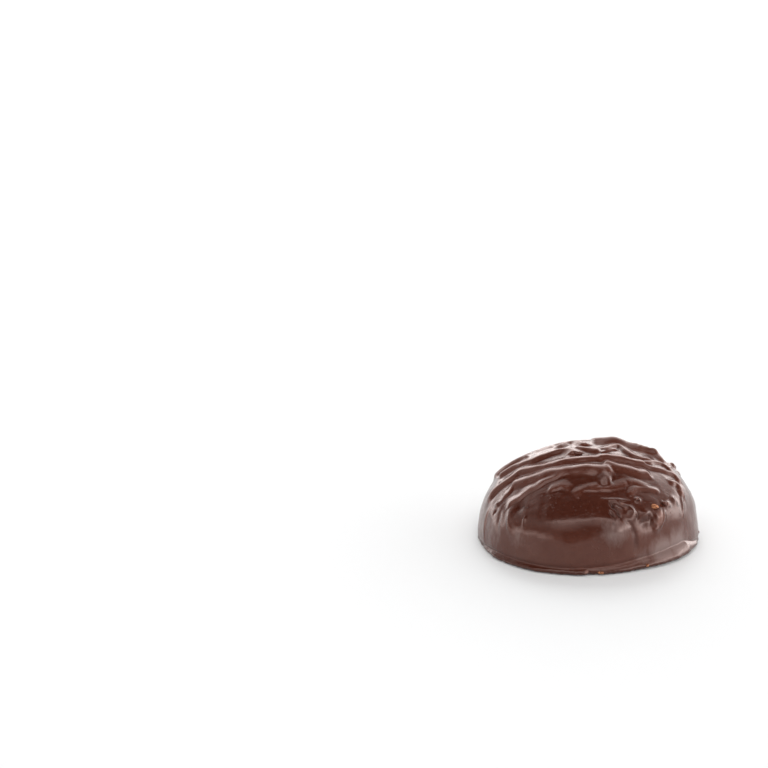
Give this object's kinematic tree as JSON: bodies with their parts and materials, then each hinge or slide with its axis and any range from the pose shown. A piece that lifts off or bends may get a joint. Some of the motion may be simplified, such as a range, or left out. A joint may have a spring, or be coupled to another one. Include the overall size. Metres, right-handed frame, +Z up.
{
  "type": "chocolate-coated polvoron",
  "caption": "Domed shortbread biscuit wholly coated in dark chocolate, with wavy ridges across its top, a lip round its flat foot and crumbs standing out of the coating.",
  "frame": {"origin": "centre of the flat underside, on the surface that the biscuit rests on", "axes": "+Z up through the dome, +X to the right of the picture, -Y towards the picture's viewer"},
  "size_m": [0.0523, 0.0538, 0.0216],
  "materials": {
    "dark_chocolate": "satin dark chocolate, faintly uneven, with brighter edges on its ridges"
  },
  "bodies": {
    "root": {"coated_polvoron": "dark_chocolate"}
  },
  "joints": []
}
